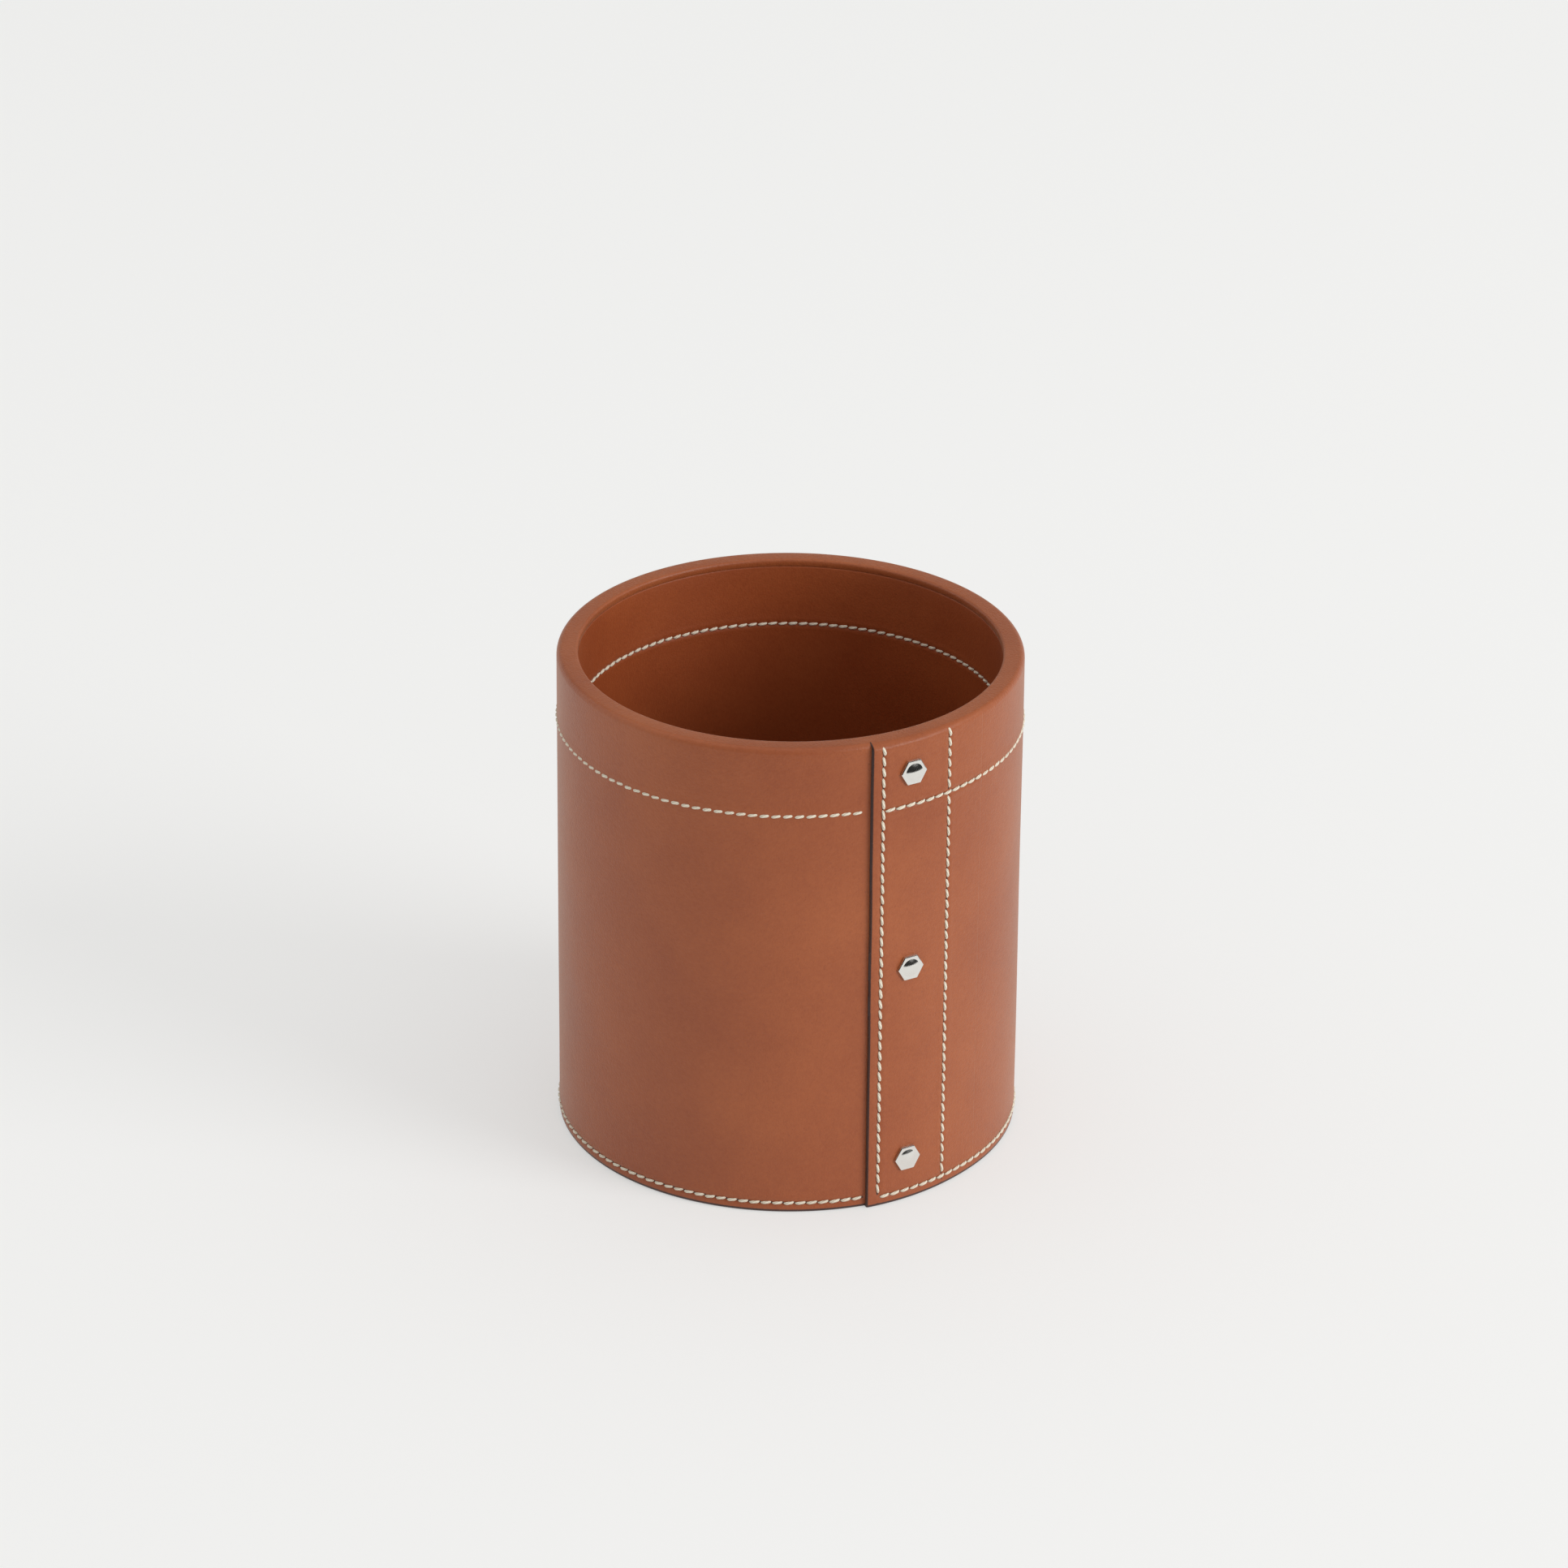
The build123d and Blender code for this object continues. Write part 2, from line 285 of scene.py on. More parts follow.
# shader helpers
class Tree:
    def __init__(self, tree):
        self.tree = tree

    def add(self, kind, inputs=None, **settings):
        node = self.tree.nodes.new(kind)
        for key, value in settings.items():
            setattr(node, key, value)
        for key, value in (inputs or {}).items():
            self.put(node.inputs[key], value)
        return node

    def put(self, socket, value):
        if isinstance(value, bpy.types.NodeSocket):
            self.tree.links.new(value, socket)
        else:
            socket.default_value = value

    def math(self, operation, first, second=0.0):
        node = self.add("ShaderNodeMath", operation=operation)
        self.put(node.inputs[0], first)
        self.put(node.inputs[1], second)
        return node.outputs[0]

    def ramp(self, value, low, high, toLow=0.0, toHigh=1.0):
        node = self.add("ShaderNodeMapRange", {"Value": value, "From Min": low, "From Max": high,
                                               "To Min": toLow, "To Max": toHigh})
        return node.outputs["Result"]

    def mix(self, share, first, second):
        node = self.add("ShaderNodeMix", data_type="RGBA")
        self.put(node.inputs["Factor"], share)
        self.put(node.inputs[6], first)
        self.put(node.inputs[7], second)
        return node.outputs[2]

    def noise(self, vector, scale, detail=4.0, roughness=0.55):
        return self.add("ShaderNodeTexNoise", {"Vector": vector, "Scale": scale, "Detail": detail,
                                               "Roughness": roughness}).outputs["Fac"]


def newGroup(name, inputs, outputs):
    tree = bpy.data.node_groups.new(name, "ShaderNodeTree")
    for label, kind, value in inputs:
        socket = tree.interface.new_socket(label, in_out="INPUT", socket_type=kind)
        if value is not None:
            socket.default_value = value
    for label, kind in outputs:
        tree.interface.new_socket(label, in_out="OUTPUT", socket_type=kind)
    tools = Tree(tree)
    return tools, tools.add("NodeGroupInput"), tools.add("NodeGroupOutput")


def hideGrainGroup():
    tools, given, out = newGroup(
        "hideGrain",
        [("Vector", "NodeSocketVector", None), ("Cells", "NodeSocketFloat", 1100.0)],
        [("Height", "NodeSocketFloat"), ("Mottle", "NodeSocketFloat"), ("Pores", "NodeSocketFloat")])
    vector, cells = given.outputs["Vector"], given.outputs["Cells"]
    bendy = tools.add("ShaderNodeTexNoise", {"Vector": vector, "Scale": 420.0, "Detail": 2.0})
    shift = tools.add("ShaderNodeVectorMath", {0: bendy.outputs["Color"], 1: (0.0006, 0.0006, 0.0006)},
                      operation="MULTIPLY")
    bent = tools.add("ShaderNodeVectorMath", {0: vector, 1: shift.outputs[0]}, operation="ADD")
    pebble = tools.add("ShaderNodeTexVoronoi", {"Vector": bent.outputs[0], "Scale": cells})
    fine = tools.noise(vector, 5200.0, 3.0)
    creases = tools.noise(vector, 260.0, 5.0, 0.62)
    height = tools.math("MULTIPLY", tools.math("SUBTRACT", 1.0, pebble.outputs["Distance"]), 0.55)
    height = tools.math("ADD", height, tools.math("MULTIPLY", fine, 0.35))
    height = tools.math("ADD", height, tools.math("MULTIPLY", creases, 0.9))
    tools.put(out.inputs["Height"], height)
    cloudy = tools.noise(vector, 24.0, 5.0, 0.6)
    speckle = tools.noise(vector, 900.0, 4.0, 0.7)
    tools.put(out.inputs["Mottle"], tools.math("ADD", tools.math("MULTIPLY", cloudy, 0.65),
                                               tools.math("MULTIPLY", speckle, 0.35)))
    dots = tools.add("ShaderNodeTexVoronoi", {"Vector": bent.outputs[0], "Scale": 620.0})
    tools.put(out.inputs["Pores"], tools.ramp(dots.outputs["Distance"], 0.16, 0.06))
    return tools.tree


def handlingGroup():  # rubbed and dusty patches that change the gloss
    tools, given, out = newGroup(
        "handling",
        [("Vector", "NodeSocketVector", None), ("Gloss", "NodeSocketFloat", 0.4),
         ("Spread", "NodeSocketFloat", 0.1)],
        [("Roughness", "NodeSocketFloat"), ("Rub", "NodeSocketFloat")])
    vector = given.outputs["Vector"]
    broad = tools.noise(vector, 45.0, 4.0)
    close = tools.noise(vector, 700.0, 3.0)
    rub = tools.math("ADD", tools.math("MULTIPLY", broad, 0.6), tools.math("MULTIPLY", close, 0.4))
    offset = tools.math("MULTIPLY", tools.math("SUBTRACT", rub, 0.5), given.outputs["Spread"])
    tools.put(out.inputs["Roughness"], tools.math("ADD", given.outputs["Gloss"], offset))
    tools.put(out.inputs["Rub"], rub)
    return tools.tree


hideGrain = hideGrainGroup()
handling = handlingGroup()


def newMaterial(name):
    material = bpy.data.materials.new(name)
    material.use_nodes = True
    tools = Tree(material.node_tree)
    shader = material.node_tree.nodes["Principled BSDF"]
    place = tools.add("ShaderNodeTexCoord").outputs["Object"]
    return material, tools, shader, place


def placeGroup(tools, tree, **values):
    node = tools.add("ShaderNodeGroup", node_tree=tree)
    for label, value in values.items():
        tools.put(node.inputs[label], value)
    return node


def raiseBump(tools, shader, height, strength, distance):
    bump = tools.add("ShaderNodeBump", {"Height": height, "Strength": strength, "Distance": distance})
    tools.put(shader.inputs["Normal"], bump.outputs["Normal"])


hide = {"sheenSpread": 0.4, "sheenTint": (1.0, 0.78, 0.58, 1), "bumpDepth": 0.0002}  # shared by the leathers


def leatherMaterial(name, looks):
    material, tools, shader, place = newMaterial(name)
    grain = placeGroup(tools, hideGrain, Vector=place, Cells=looks["cells"])
    rubbed = placeGroup(tools, handling, Vector=place, Gloss=looks["gloss"], Spread=looks["glossSpread"])
    tone = tools.ramp(grain.outputs["Mottle"], 0.36, 0.64)
    colour = tools.mix(tone, looks["dark"], looks["light"])
    poreShare = tools.math("MULTIPLY", grain.outputs["Pores"], looks["poreShare"])
    colour = tools.mix(poreShare, colour, looks["pore"])
    if "paintAndHoleShade" in looks:  # sealed cut edges marked on the mesh, and painted shade in the stitch holes
        paintAndShadeMask = tools.add("ShaderNodeAttribute", attribute_name="cutEdgeAndHoleShade").outputs["Fac"]
        ragged = tools.math("MULTIPLY", tools.math("SUBTRACT", tools.noise(place, 1500.0), 0.5), 0.5)
        sealedAndHoleShade = tools.ramp(tools.math("ADD", paintAndShadeMask, ragged), 0.42, 0.58)
        colour = tools.mix(sealedAndHoleShade, colour, looks["paintAndHoleShade"])
    tools.put(shader.inputs["Base Color"], colour)
    tools.put(shader.inputs["Roughness"], rubbed.outputs["Roughness"])
    shader.inputs["Specular IOR Level"].default_value = looks["specular"]
    shader.inputs["Sheen Weight"].default_value = looks["sheen"]
    shader.inputs["Sheen Roughness"].default_value = hide["sheenSpread"]
    shader.inputs["Sheen Tint"].default_value = hide["sheenTint"]
    raiseBump(tools, shader, grain.outputs["Height"], looks["bump"], hide["bumpDepth"])
    return material


tanLooks = {
    "dark": (0.295, 0.066, 0.017, 1), "light": (0.370, 0.095, 0.026, 1),
    "pore": (0.20, 0.042, 0.012, 1), "poreShare": 0.35, "cells": 1800.0,
    "gloss": 0.45, "glossSpread": 0.16, "specular": 0.5, "sheen": 0.2, "bump": 0.5,
    # dark edge colour, also used for the painted shade in the stitch holes
    "paintAndHoleShade": (0.050, 0.018, 0.014, 1),
}
# the lining is a darker, more saturated copy of the tan leather: painted shade and inter-reflection inside
# the pot; the floor pad wears it too
liningShadedLooks = {
    "dark": (0.265, 0.052, 0.012, 1), "light": (0.335, 0.076, 0.019, 1),
    "pore": (0.16, 0.03, 0.008, 1), "poreShare": 0.3, "cells": 1800.0,
    "gloss": 0.5, "glossSpread": 0.12, "specular": 0.4, "sheen": 0.0, "bump": 0.3,
}
underLooks = {
    "dark": (0.085, 0.030, 0.014, 1), "light": (0.14, 0.054, 0.026, 1),
    "pore": (0.05, 0.018, 0.01, 1), "poreShare": 0.2, "cells": 2600.0,
    "gloss": 0.82, "glossSpread": 0.1, "specular": 0.3, "sheen": 0.0, "bump": 0.35,
}


def threadMaterial():
    looks = {
        "light": (0.80, 0.735, 0.60, 1), "dark": (0.50, 0.415, 0.30, 1),
        "plies": 3.0, "twist": 2.6, "bump": 0.7, "bumpDepth": 0.00012,
    }
    material, tools, shader, place = newMaterial("creamThread")
    way = tools.add("ShaderNodeUVMap", uv_map="threadWay").outputs[0]
    uv = tools.add("ShaderNodeSeparateXYZ", {0: way})
    phase = tools.math("ADD", tools.math("MULTIPLY", uv.outputs[0], looks["plies"]),
                       tools.math("MULTIPLY", uv.outputs[1], looks["twist"]))
    ply = tools.math("ABSOLUTE", tools.math("SINE", tools.math("MULTIPLY", phase, math.pi)))
    fibres = tools.noise(place, 9000.0, 3.0)
    soil = tools.noise(place, 150.0, 3.0)
    # painted shade: the thread is darker in the grooves between its plies; the soil noise below is real dirt
    share = tools.ramp(tools.math("ADD", ply, tools.math("MULTIPLY", fibres, 0.35)), 0.05, 0.75)
    colour = tools.mix(share, looks["dark"], looks["light"])
    colour = tools.mix(tools.ramp(soil, 0.5, 0.8, 0.0, 0.3), colour, looks["dark"])
    tools.put(shader.inputs["Base Color"], colour)
    tools.put(shader.inputs["Roughness"], tools.ramp(fibres, 0.0, 1.0, 0.62, 0.82))
    height = tools.math("ADD", ply, tools.math("MULTIPLY", fibres, 0.4))
    raiseBump(tools, shader, height, looks["bump"], looks["bumpDepth"])
    return material


def studMaterial():
    looks = {
        "dark": (0.74, 0.72, 0.68, 1), "light": (0.86, 0.85, 0.82, 1), "gloss": 0.13, "glossSpread": 0.14,
        "hairlines": 2600.0, "stretch": (1.0, 1.0, 9.0), "bump": 0.06, "bumpDepth": 0.00005,
    }
    material, tools, shader, place = newMaterial("polishedStud")
    rubbed = placeGroup(tools, handling, Vector=place, Gloss=looks["gloss"], Spread=looks["glossSpread"])
    stretched = tools.add("ShaderNodeMapping", {"Vector": place, "Scale": looks["stretch"]}).outputs[0]
    hairlines = tools.noise(stretched, looks["hairlines"], 3.0)
    tools.put(shader.inputs["Base Color"], tools.mix(rubbed.outputs["Rub"], looks["dark"], looks["light"]))
    shader.inputs["Metallic"].default_value = 1.0
    tools.put(shader.inputs["Roughness"], rubbed.outputs["Roughness"])
    raiseBump(tools, shader, hairlines, looks["bump"], looks["bumpDepth"])
    return material


def boardMaterial():
    looks = {
        "dark": (0.20, 0.15, 0.10, 1), "light": (0.36, 0.29, 0.20, 1), "flecks": 800.0,
        "gloss": (0.8, 0.95), "bump": 0.4, "bumpDepth": 0.0002,
    }
    material, tools, shader, place = newMaterial("fibreboard")
    flecks = tools.noise(place, looks["flecks"], 6.0, 0.7)
    tools.put(shader.inputs["Base Color"], tools.mix(flecks, looks["dark"], looks["light"]))
    tools.put(shader.inputs["Roughness"], tools.ramp(flecks, 0.0, 1.0, *looks["gloss"]))
    raiseBump(tools, shader, flecks, looks["bump"], looks["bumpDepth"])
    return material


def screwMaterial():
    looks = {
        "dark": (0.32, 0.32, 0.33, 1), "light": (0.48, 0.48, 0.49, 1), "gloss": 0.42, "glossSpread": 0.2,
    }
    material, tools, shader, place = newMaterial("plainSteel")
    rubbed = placeGroup(tools, handling, Vector=place, Gloss=looks["gloss"], Spread=looks["glossSpread"])
    tools.put(shader.inputs["Base Color"], tools.mix(rubbed.outputs["Rub"], looks["dark"], looks["light"]))
    shader.inputs["Metallic"].default_value = 1.0
    tools.put(shader.inputs["Roughness"], rubbed.outputs["Roughness"])
    return material


tanLeather = leatherMaterial("tanLeather", tanLooks)
liningLeatherShaded = leatherMaterial("liningLeatherShaded", liningShadedLooks)
underLeather = leatherMaterial("underLeather", underLooks)
creamThread = threadMaterial()
polishedStud = studMaterial()
fibreboard = boardMaterial()
plainSteel = screwMaterial()
print("materials ready")


# outer sheet, once round the pot
def footOutline(outer):
    centre = (outer - pot["footRound"], pot["footRound"])
    outline = [(outer - pot["footRound"] - 0.5, 0.0)] + arcPoints(centre, pot["footRound"], -90, 0, 5)
    return outline + [(outer, pot["footPaint"]), (outer, pot["footPaint"] + pot["paintBlur"])]


def makeSheet():
    fine = {"steps": 900, "rowFine": 0.34, "rowCoarse": 4.2, "topStep": 1.2}
    under = {"sink": 0.45, "start": (0.3, 0.9), "end": (0.3, 1.2)}  # the sheet lies lower beneath the flap
    outer, core, inner = pot["outer"], pot["core"], pot["inner"]
    outline = [(core, 0.0)] + footOutline(outer)
    rows = bandedHeights(pot["footPaint"] + pot["paintBlur"], pot["shoulder"], fine["rowCoarse"],
                         fine["rowFine"], (seam["baseHeight"], seam["rimHeight"]))
    outline += [(outer, height) for height in rows[1:]]
    outline += arcPoints((outer - pot["rimRound"], pot["shoulder"]), pot["rimRound"], 0, 90, 10)[1:]
    outline += [(outer - pot["rimRound"] - fine["topStep"], pot["height"])]
    lipCentre = (inner + pot["lipRound"], pot["height"] - pot["lipRound"])
    outline += arcPoints(lipCentre, pot["lipRound"], 90, 180, 6)
    outline += [(inner, liningHigh.z + 0.1), (inner + 0.1, liningHigh.z), (pot["liningBack"], liningHigh.z)]
    outline += [(pot["liningBack"], pot["shoulder"]), (core, pot["shoulder"])]
    outline += [(core, seam["rimHeight"]), (core, pot["height"] / 2)]
    bm = spinOutline(outline, fine["steps"], startArc=flap["endArc"])
    paintAndHoleShadeMark = bm.verts.layers.float.new("cutEdgeAndHoleShade")
    for vert in bm.verts:
        arc, radius = arcOf(vert.co), math.hypot(vert.co.x, vert.co.y)
        out = Vector((vert.co.x, vert.co.y, 0)).normalized()
        height = vert.co.z
        vert[paintAndHoleShadeMark] = 1.0 if height < pot["footPaint"] + 0.01 and radius > core + 0.1 else 0.0
        if radius < core + 0.2 or height > pot["shoulder"] + 0.5:
            continue
        hidden = smoothStep(*(flap["edgeArc"] + step for step in under["start"]), arc)
        hidden *= smoothStep(*(flap["fadeArc"] - step for step in under["end"]), arc)
        level = runDent(rimRun, arc, height) + runDent(baseRun, arc, height)
        # the stitch holes are marked too, for the painted shade in them
        vert[paintAndHoleShadeMark] = max(vert[paintAndHoleShadeMark], *(holeShade(run, arc, height) for run in (rimRun, baseRun)))
        vert.co += out * (level * (1 - hidden) - under["sink"] * hidden + sheetWaver(arc, height))
    finishPiece(bm, "outerSheet", tanLeather, "tan_leather", "outer_wrap")


# the studs' sizes stand here because the flap is drawn down round them
stud = {
    "acrossFlats": 6.5, "headThickness": 1.0, "bevel": 0.2,
    "domeDiameter": 4.9, "domeHeight": 0.52, "flatArea": 1.0,
    "press": 0.1, "pressReach": 5.0, "domeFoot": 0.12, "domeSteps": 56, "sharp": 40,
}
stud["seat"] = -studLow.y - stud["headThickness"] - stud["domeHeight"]
stud["low"] = studLow.z + stud["acrossFlats"] / 2
stud["high"] = studHigh.z - stud["acrossFlats"] / 2
stud["heights"] = [stud["low"], (stud["low"] + stud["high"]) / 2, stud["high"]]


def studPress(arc, height):  # the leather is drawn down a little round each stud
    depth = 0.0
    for centre in stud["heights"]:
        away = math.hypot(arc, height - centre)
        depth = min(depth, -stud["press"] * smoothStep(stud["pressReach"], stud["acrossFlats"] / 2, away))
    return depth


# flap of the overlap, with its cut edge, on top of the sheet
def makeFlap():
    fine = {"column": 0.42, "row": 0.42, "firstColumn": 0.8, "footTuck": (1.2, 0.06)}
    outer = pot["outer"]
    nose = [(-0.03, -0.40), (-0.02, 0.10), (-0.01, 0.45)]  # arc from the edge, height off the sheet
    rounding = [(0.0, -0.40), (0.05, -0.20), (0.17, -0.07), (0.40, 0.0)]  # arc, height off the face
    rimTuck = [(0.4, 0.02), (0.9, 0.25)]  # in from the rounding, down from the top
    columns = [(flap["edgeArc"] + a, None, h) for a, h in nose]
    columns += [(flap["edgeArc"] + a, h, 0.0) for a, h in rounding]
    face = spaced(flap["edgeArc"] + fine["firstColumn"], flap["fadeArc"], fine["column"])
    columns += [(a, 0.0, 0.0) for a in face]
    outline = [(outer - fine["footTuck"][0], fine["footTuck"][1])] + footOutline(outer)
    rows = spaced(pot["footPaint"] + pot["paintBlur"], pot["shoulder"], fine["row"])
    outline += [(outer, height) for height in rows[1:]]
    outline += arcPoints((outer - pot["rimRound"], pot["shoulder"]), pot["rimRound"], 0, 90, 12)[1:]
    outline += [(outer - pot["rimRound"] - inset, pot["height"] - drop) for inset, drop in rimTuck]
    sweep = 1.0  # any angle will do, since every column is put in its own place below
    bm = spinOutline(outline, len(columns) - 1, angle=sweep, closed=False)
    paintAndHoleShadeMark = bm.verts.layers.float.new("cutEdgeAndHoleShade")
    turnStep = sweep / (len(columns) - 1)
    for vert in bm.verts:
        column = round(math.atan2(vert.co.x, -vert.co.y) / turnStep)
        radius, height = math.hypot(vert.co.x, vert.co.y), vert.co.z
        arc, below, above = columns[column]
        wander = flap["wave"] * noise.noise(Vector((3.1, 0.0, height * flap["waveRate"])))
        near, far = flap["waveReach"]
        arc += wander * smoothStep(far, near, arc - flap["edgeArc"])
        lift = liftAt(arc)
        if below is None:
            offset = min(above, lift)
        else:
            offset = lift + below
        over = max(0.0, (height - pot["shoulder"]) / pot["rimRound"])
        offset *= math.sqrt(max(0.0, 1 - over * over))
        onWall = radius > outer - 0.01 and pot["footRound"] <= height <= pot["shoulder"]
        if onWall and below is not None:
            field = sum(runDent(run, arc, height) for run in seamRuns)
            offset += field + studPress(arc, height) + sheetWaver(arc, height)
        if column == len(columns) - 1:
            offset -= flap["endSink"]
        vert.co = wallPoint(arc, radius + offset, height)
        foot = height < pot["footPaint"] + 0.01 and radius > outer - 0.55
        vert[paintAndHoleShadeMark] = 1.0 if column < len(nose) + 3 or foot else 0.0
        # painted shade in the stitch holes is marked beside the painted cut edge
        if onWall:
            vert[paintAndHoleShadeMark] = max(vert[paintAndHoleShadeMark], *(holeShade(run, arc, height) for run in seamRuns))
    piece = finishPiece(bm, "overlapFlap", tanLeather, "tan_leather", "outer_wrap", openShell=True)
    wall = piece.modifiers.new("thickness", "SOLIDIFY")
    wall.thickness = flap["skin"] * mm
    wall.offset = -1.0


# lining, floor and underside
def makeLining():
    fine = {"steps": 720, "rowFine": 0.36, "rowCoarse": 5.0, "jointArc": -10.4, "jointDepth": 0.3}
    inner, back = pot["inner"], pot["liningBack"]
    low, top = liningLow.z, liningHigh.z
    rows = bandedHeights(low, top - 0.4, fine["rowCoarse"], fine["rowFine"], (seam["rimHeight"],))
    outline = [(inner, height) for height in rows]
    outline += [(inner + 0.03, top - 0.1), (inner + 0.12, top), (back, top)]
    outline += [(back, (low + top) / 2), (back, low)]
    bm = spinOutline(outline, fine["steps"], startArc=fine["jointArc"])
    for vert in bm.verts:
        arc, radius = arcOf(vert.co), math.hypot(vert.co.x, vert.co.y)
        if radius > inner + 0.2:
            continue
        out = Vector((vert.co.x, vert.co.y, 0)).normalized()
        field = runDent(rimRun, arc, vert.co.z)
        if abs(arc - fine["jointArc"]) < 0.05:
            field -= fine["jointDepth"]
        drift = waver(arc + unevenness["liningShift"], vert.co.z, unevenness["lining"])
        vert.co -= out * (field + drift)
    finishPiece(bm, "innerLining", liningLeatherShaded, "lining_leather", "lining")


def makeDisc(name, node, material, slot, low, high, radius, softEdge):
    outline = [(0.0, high), (radius * 0.4, high), (radius * 0.75, high), (radius - softEdge, high)]
    outline += arcPoints((radius - softEdge, high - softEdge), softEdge, 90, 0, 4)[1:]
    outline += arcPoints((radius - softEdge, low + softEdge), softEdge, 0, -90, 4)
    outline += [(radius * 0.75, low), (radius * 0.4, low), (0.0, low)]
    bm = spinOutline(outline, 160, closed=False)
    finishPiece(bm, name, material, slot, node)


# stitches
thread = {
    "halfWidth": 0.42, "halfHeight": 0.36, "rise": 0.07, "fill": 0.94,
    "tipSink": 0.34, "levelLean": 0.18, "uprightLean": 0.24, "seed": 11,
    "around": 8, "along": 8,  # faces of one stitch
}


def outerFace(arc, height):
    rise = max(0.0, height - pot["shoulder"])
    tilt = math.asin(rise / pot["rimRound"])
    radius = pot["outer"] + liftAt(arc) * math.cos(tilt) - pot["rimRound"] * (1 - math.cos(tilt))
    point = wallPoint(arc, radius, height)
    out = wallPoint(arc, math.cos(tilt), math.sin(tilt))
    return point, out


def innerFace(arc, height):
    return wallPoint(arc, pot["inner"], height), wallPoint(arc, -1.0, 0.0)


def layStitch(bm, start, end, crest, out, lean, draw):
    along = end - start
    bow = crest - (start + end) / 2
    half = along.length / 2 * thread["fill"] * draw.uniform(0.96, 1.03)
    way = along.normalized()
    out = (out - way * out.dot(way)).normalized()
    side = out.cross(way)
    middle = (start + end) / 2 + out * thread["rise"]
    width = thread["halfWidth"] * draw.uniform(0.92, 1.08)
    height = thread["halfHeight"] * draw.uniform(0.94, 1.06)
    tilt = lean * draw.uniform(0.75, 1.25)
    nudge = draw.uniform(-0.05, 0.05)
    frameOf = Matrix((side * width, out * height, way * half)).transposed().to_4x4()
    frameOf.translation = middle
    grain = bmesh.ops.create_uvsphere(bm, u_segments=thread["around"], v_segments=thread["along"],
                                      radius=1.0, matrix=frameOf, calc_uvs=True)
    for vert in grain["verts"]:
        share = max(-1.0, min(1.0, (vert.co - middle).dot(way) / half))
        slim = math.sqrt(max(1e-6, 1 - share * share))
        full = math.sqrt(max(0.0, 1 - abs(share) ** 3.2))
        centre = middle + way * share * half
        vert.co = centre + (vert.co - centre) * min(full / slim, 1.7)
        vert.co += bow * (1 - share * share)
        vert.co += side * (tilt * share + nudge) - out * thread["tipSink"] * abs(share) ** 3.5


def sewRun(bm, run, face, lean, draw):
    for i in range(run["count"]):
        spots = [run["start"] + run["pitch"] * (i + step) for step in (0, 0.5, 1)]
        if run["kind"] == "level":
            ends = [face(spot, run["place"]) for spot in spots]
        else:
            ends = [face(run["place"], spot) for spot in spots[::-1]]
        layStitch(bm, ends[0][0], ends[2][0], ends[1][0], ends[0][1] + ends[2][1], lean, draw)


def makeThread(name, node, jobs, lean):
    draw = random.Random(thread["seed"] + len(name))
    bm = bmesh.new()
    bm.loops.layers.uv.new("threadWay")
    for run, face in jobs:
        sewRun(bm, run, face, lean, draw)
    finishPiece(bm, name, creamThread, "cream_thread", node)


# studs: a bevelled hexagon with a low dome
def makeStuds():
    bm = bmesh.new()
    turnOut = Matrix.Rotation(math.radians(90), 4, "X")
    for centre in stud["heights"]:
        single = bmesh.new()
        corner = stud["acrossFlats"] / math.sqrt(3)
        bmesh.ops.create_circle(single, cap_ends=True, segments=6, radius=corner,
                                matrix=Matrix.Rotation(math.radians(30), 4, "Z"))
        grown = bmesh.ops.extrude_face_region(single, geom=single.faces[:])
        top = [item for item in grown["geom"] if isinstance(item, bmesh.types.BMVert)]
        bmesh.ops.translate(single, vec=(0, 0, stud["headThickness"]), verts=top)
        half = stud["headThickness"] / 2
        rim = [edge for edge in single.edges if all(v.co.z > half for v in edge.verts)]
        posts = [edge for edge in single.edges if abs(edge.verts[0].co.z - edge.verts[1].co.z) > half]
        bmesh.ops.bevel(single, geom=rim + posts, offset=stud["bevel"], affect="EDGES", segments=3,
                        profile=0.5, material=-1)
        dome = stud["domeDiameter"] / 2
        ball = (dome ** 2 + stud["domeHeight"] ** 2) / (2 * stud["domeHeight"])
        reach = math.degrees(math.asin(dome / ball))
        centreLow = (0.0, stud["headThickness"] + stud["domeHeight"] - ball)
        cap = arcPoints(centreLow, ball, 90 - reach, 90, 12)
        foot = stud["headThickness"] - stud["domeFoot"]  # the dome starts inside the head
        skirt = [(0.0, foot), (dome, foot)]
        ring = [single.verts.new((r, 0, z)) for r, z in skirt + cap]
        spine = [single.edges.new(pair) for pair in zip(ring, ring[1:])]
        bmesh.ops.spin(single, geom=ring + spine, cent=(0, 0, 0), axis=(0, 0, 1),
                       angle=2 * math.pi, steps=stud["domeSteps"], use_merge=True)
        bmesh.ops.remove_doubles(single, verts=single.verts[:], dist=1e-4)
        place = Matrix.Translation((0, -stud["seat"], centre)) @ turnOut
        bmesh.ops.transform(single, matrix=place, verts=single.verts[:])
        held = bpy.data.meshes.new("oneStud")
        single.to_mesh(held)
        single.free()
        bm.from_mesh(held)
        bpy.data.meshes.remove(held)
    piece = finishPiece(bm, "hexStuds", polishedStud, "polished_metal", "hex_studs")
    piece.data.set_sharp_from_angle(angle=math.radians(stud["sharp"]))
    for face in piece.data.polygons:  # the flats of the hexagon stay flat
        face.use_smooth = face.area < stud["flatArea"] * mm * mm


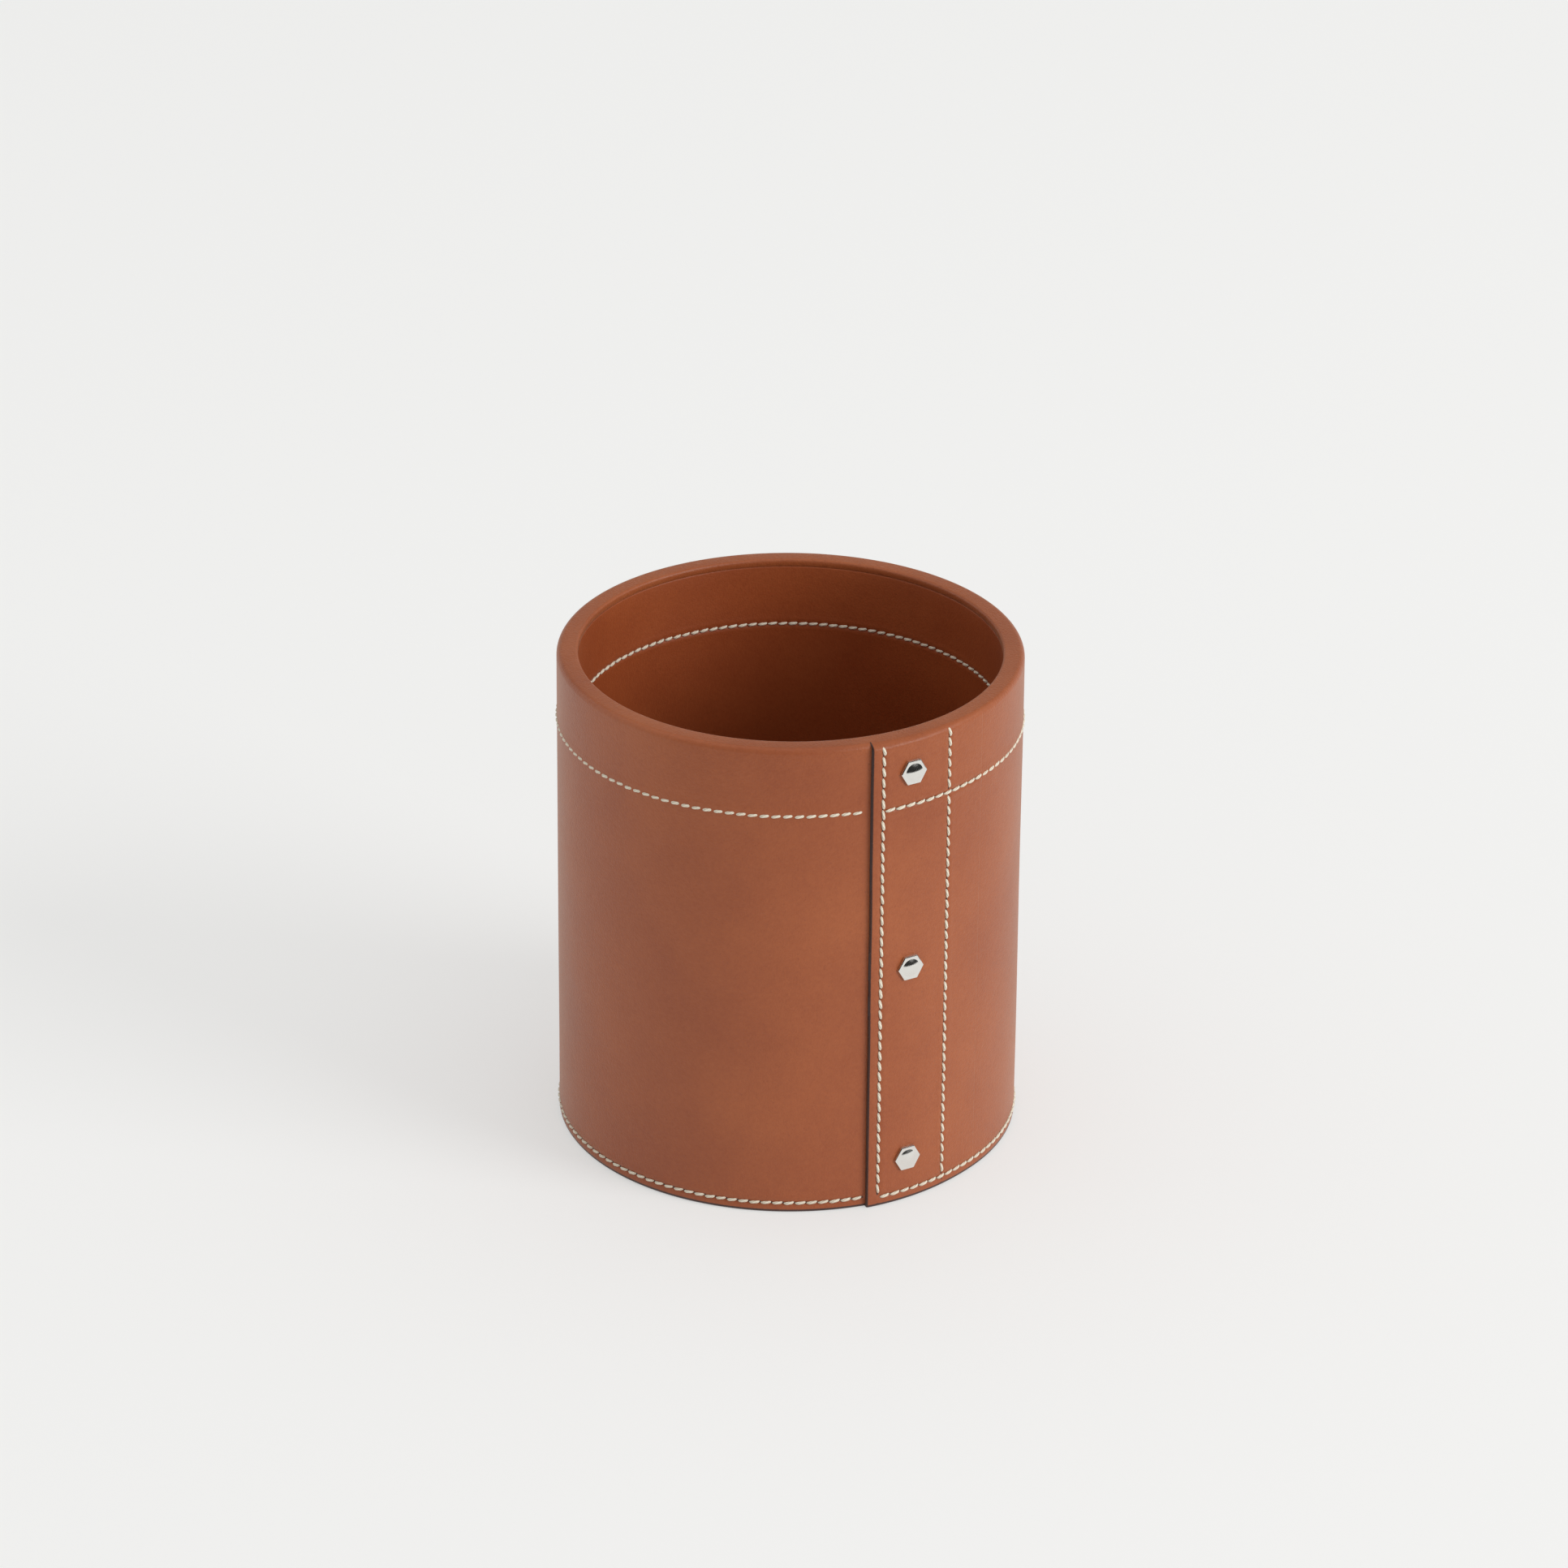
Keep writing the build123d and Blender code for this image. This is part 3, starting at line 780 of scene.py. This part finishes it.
makeSheet()
makeFlap()
makeLining()
makeDisc("floorPad", "floor_pad", liningLeatherShaded, "lining_leather", padLow.z, padHigh.z, padHigh.x, 0.5)
makeDisc("baseCover", "base_cover", underLeather, "base_leather", 0.0, coverHigh.z, coverHigh.x, 0.3)
makeThread("rimThread", "rim_thread", [(rimRun, outerFace), (rimRun, innerFace)], thread["levelLean"])
makeThread("baseThread", "base_thread", [(baseRun, outerFace)], thread["levelLean"])
makeThread("leftOverlapThread", "left_overlap_thread", [(run, outerFace) for run in leftRuns],
           thread["uprightLean"])
makeThread("rightOverlapThread", "right_overlap_thread", [(run, outerFace) for run in rightRuns],
           thread["uprightLean"])
makeStuds()

for node, material in (("core_tube", fibreboard), ("base_board", fibreboard), ("stud_screws", plainSteel)):
    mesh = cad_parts[node].data
    mesh.materials.clear()
    mesh.materials.append(material)
print("pieces ready")


# stage, camera and light
view = {
    "turn": -30.56, "distance": 1.6236, "height": 0.8944,  # metres from the pot's foot
    "pitch": 26.27, "yaw": -0.05, "roll": -0.485,
    "focalPixels": 8625.5, "imagePixels": 1932, "sensor": 36.0,
    "lampAim": 0.06,  # height that the lamps point at
}


def makeCamera():
    yaw, pitch, roll = (math.radians(view[key]) for key in ("yaw", "pitch", "roll"))
    ahead = Vector((math.sin(yaw) * math.cos(pitch), math.cos(yaw) * math.cos(pitch), -math.sin(pitch)))
    right = Vector((math.cos(yaw), -math.sin(yaw), 0))
    down = ahead.cross(right)
    rightTurned = right * math.cos(roll) + down * math.sin(roll)
    downTurned = down * math.cos(roll) - right * math.sin(roll)
    basis = Matrix((rightTurned, -downTurned, -ahead)).transposed().to_4x4()
    basis.translation = (0, -view["distance"], view["height"])
    data = bpy.data.cameras.new("photoCamera")
    data.sensor_width = view["sensor"]
    data.lens = view["focalPixels"] / view["imagePixels"] * view["sensor"]
    data.clip_start = 0.01
    camera = bpy.data.objects.new("photoCamera", data)
    bpy.context.scene.collection.objects.link(camera)
    camera.matrix_world = Matrix.Rotation(math.radians(view["turn"]), 4, "Z") @ basis
    bpy.context.scene.camera = camera


def towards(side, elevation, distance):  # a place seen from the pot: side is degrees right of the camera
    turn, tip = math.radians(view["turn"] + side), math.radians(elevation)
    return Vector((math.sin(turn) * math.cos(tip), -math.cos(turn) * math.cos(tip), math.sin(tip))) * distance


lamps = {
    "sideLamp": {"side": 64.0, "elevation": 25.0, "distance": 4.0, "size": 2.2, "power": 82.0},
    "topLamp": {"side": 45.0, "elevation": 66.0, "distance": 4.0, "size": 2.0, "power": 8.0},
}


def addLamp(name, side, elevation, distance, size, power):
    data = bpy.data.lights.new(name, "AREA")
    data.shape = "DISK"
    data.size = size
    data.energy = power
    lamp = bpy.data.objects.new(name, data)
    bpy.context.scene.collection.objects.link(lamp)
    lamp.location = towards(side, elevation, distance)
    aim = Vector((0, 0, view["lampAim"])) - lamp.location
    lamp.rotation_euler = aim.to_track_quat("-Z", "Y").to_euler()


def makeFloor():
    table = {
        "radius": 9.0, "drop": 0.0001, "tone": (0.86, 0.86, 0.85, 1), "gloss": 0.8,
        "ground": (1.0, 1.0, 0.99, 1), "share": 0.46,
    }
    bm = bmesh.new()
    bmesh.ops.create_circle(bm, cap_ends=True, segments=96, radius=table["radius"])
    mesh = bpy.data.meshes.new("tableTop")
    bm.to_mesh(mesh)
    bm.free()
    material, tools, shader, _ = newMaterial("tableWhite")
    shader.inputs["Base Color"].default_value = table["tone"]
    shader.inputs["Roughness"].default_value = table["gloss"]
    rays = tools.add("ShaderNodeLightPath")  # seen directly, the table is partly a plain white ground
    seen = tools.math("MAXIMUM", rays.outputs["Is Camera Ray"], rays.outputs["Is Glossy Ray"])
    seen = tools.math("MAXIMUM", seen, rays.outputs["Is Transmission Ray"])
    glow = tools.add("ShaderNodeEmission", {"Color": table["ground"], "Strength": 1.0})
    share = tools.math("MULTIPLY", seen, table["share"])
    blend = tools.add("ShaderNodeMixShader", {0: share, 1: shader.outputs[0], 2: glow.outputs[0]})
    tools.put(material.node_tree.nodes["Material Output"].inputs["Surface"], blend.outputs[0])
    mesh.materials.append(material)
    floor = bpy.data.objects.new("tableTop", mesh)
    bpy.context.scene.collection.objects.link(floor)
    floor.location.z = -table["drop"]


# unlit parts of the room, which only reflections see: degrees right of the camera, metres above the table
darkSides = {
    "darkFront": {"start": -60.0, "end": 105.0, "low": 0.0, "high": 1.6, "tone": 0.03},
    "darkBack": {"start": 120.0, "end": 225.0, "low": 0.2, "high": 0.9, "tone": 0.12},
}


def makeDarkSide(name, start, end, low, high, tone, reach=0.40):
    bm = bmesh.new()
    foot = bm.verts.new(towards(start, 0, reach) + Vector((0, 0, low)))
    head = bm.verts.new(towards(start, 0, reach) + Vector((0, 0, high)))
    post = bm.edges.new((foot, head))
    bmesh.ops.spin(bm, geom=[foot, head, post], cent=(0, 0, 0), axis=(0, 0, 1),
                   angle=math.radians(end - start), steps=24)
    mesh = bpy.data.meshes.new(name)
    bm.to_mesh(mesh)
    bm.free()
    material = bpy.data.materials.new(name)
    material.use_nodes = True
    tools = Tree(material.node_tree)
    glow = tools.add("ShaderNodeEmission", {"Color": (tone, tone, tone, 1)})
    tools.put(material.node_tree.nodes["Material Output"].inputs["Surface"], glow.outputs[0])
    mesh.materials.append(material)
    card = bpy.data.objects.new(name, mesh)
    bpy.context.scene.collection.objects.link(card)
    card.visible_camera = card.visible_diffuse = card.visible_shadow = False
    card.visible_transmission = card.visible_volume_scatter = False


def makeWorld():
    levels = {"ambient": 0.66, "seen": 0.905}
    world = bpy.data.worlds.new("studio")
    bpy.context.scene.world = world
    world.use_nodes = True
    tools = Tree(world.node_tree)
    rays = tools.add("ShaderNodeLightPath")
    shown = tools.math("MAXIMUM", rays.outputs["Is Camera Ray"], rays.outputs["Is Transmission Ray"])
    shown = tools.math("MAXIMUM", shown, rays.outputs["Is Glossy Ray"])
    strength = tools.ramp(shown, 0.0, 1.0, levels["ambient"], levels["seen"])
    back = world.node_tree.nodes["Background"]
    back.inputs["Color"].default_value = (1.0, 1.0, 0.99, 1)
    tools.put(back.inputs["Strength"], strength)


makeCamera()
makeFloor()
for name, side in darkSides.items():
    makeDarkSide(name, **side)
makeWorld()
for name, lamp in lamps.items():
    addLamp(name, **lamp)
bpy.context.scene.view_settings.view_transform = "Standard"
print("stage ready")
